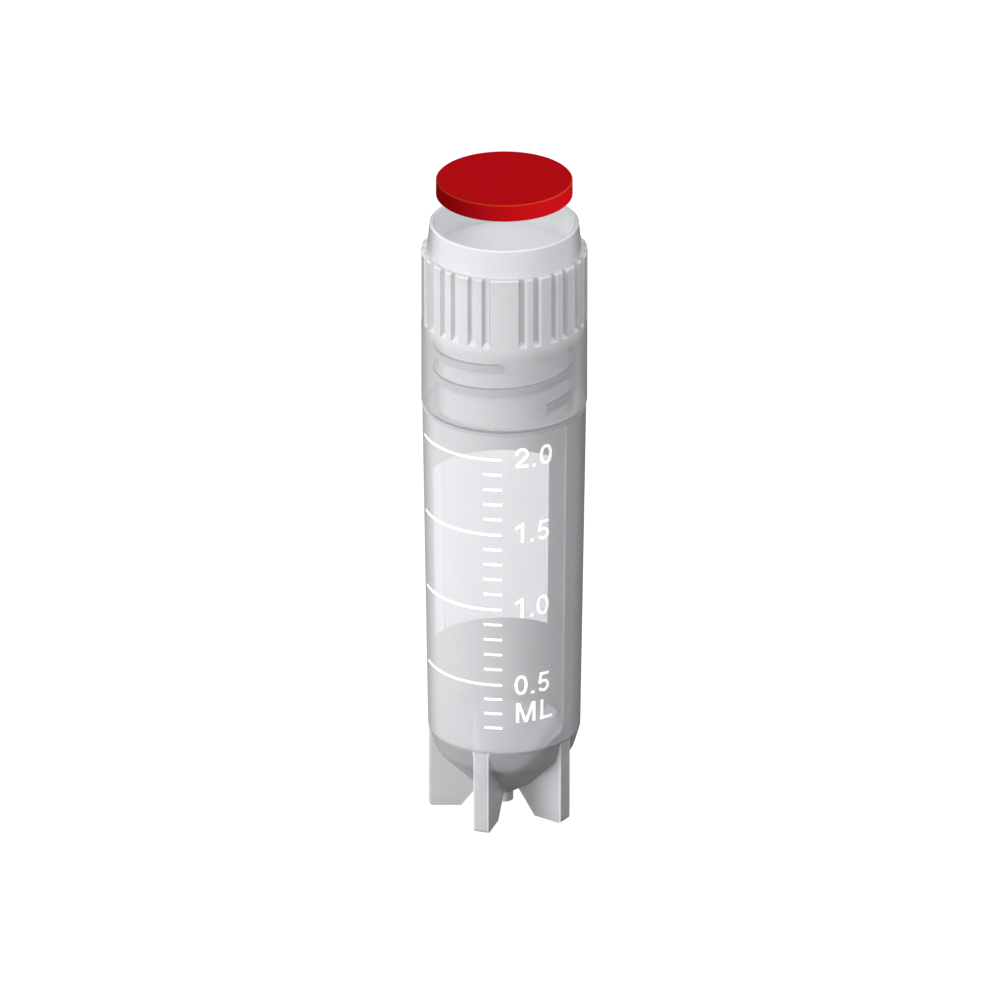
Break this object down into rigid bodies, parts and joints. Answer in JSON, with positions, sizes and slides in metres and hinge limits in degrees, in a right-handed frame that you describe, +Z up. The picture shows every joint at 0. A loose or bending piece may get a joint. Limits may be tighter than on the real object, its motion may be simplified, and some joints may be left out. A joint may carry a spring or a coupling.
{
  "type": "cryovial",
  "caption": "Self-standing cryogenic storage vial with a star foot, a grooved screw cap, a printed scale and a red coding disc held above the cap.",
  "frame": {"origin": "On the vial's axis, in the plane that its feet stand on.", "axes": "+Z up along the axis. The printed scale faces -Y, and one fin of the star foot points along -X."},
  "size_m": [0.0126, 0.0126, 0.0525],
  "materials": {
    "tube_plastic": "clear to milky natural polypropylene, smooth",
    "cap_plastic": "translucent natural polypropylene, smooth",
    "washer_silicone": "translucent silicone, satin",
    "insert_plastic": "opaque red polypropylene, smooth"
  },
  "bodies": {
    "tube": {"tube": "tube_plastic"},
    "washer": {"washer": "washer_silicone"},
    "cap": {"cap": "cap_plastic"},
    "insert": {"insert": "insert_plastic"}
  },
  "joints": [
    {"name": "washer_rise", "type": "slide", "parent": "tube", "child": "washer", "axis": [0, 0, 1], "range_m": [0, 0.011]},
    {"name": "cap_turn", "type": "hinge", "parent": "washer", "child": "cap", "pos_m": [0, 0, 0], "axis": [0, 0, 1], "range_deg": [0, 1981]},
    {"name": "insert_lift", "type": "slide", "parent": "cap", "child": "insert", "axis": [0, 0, 1], "range_m": [-0.0046, 0.005]}
  ],
  "couplings": [
    {"joint": "cap_turn", "follows": "washer_rise", "rad_per_m": 3141.6}
  ]
}
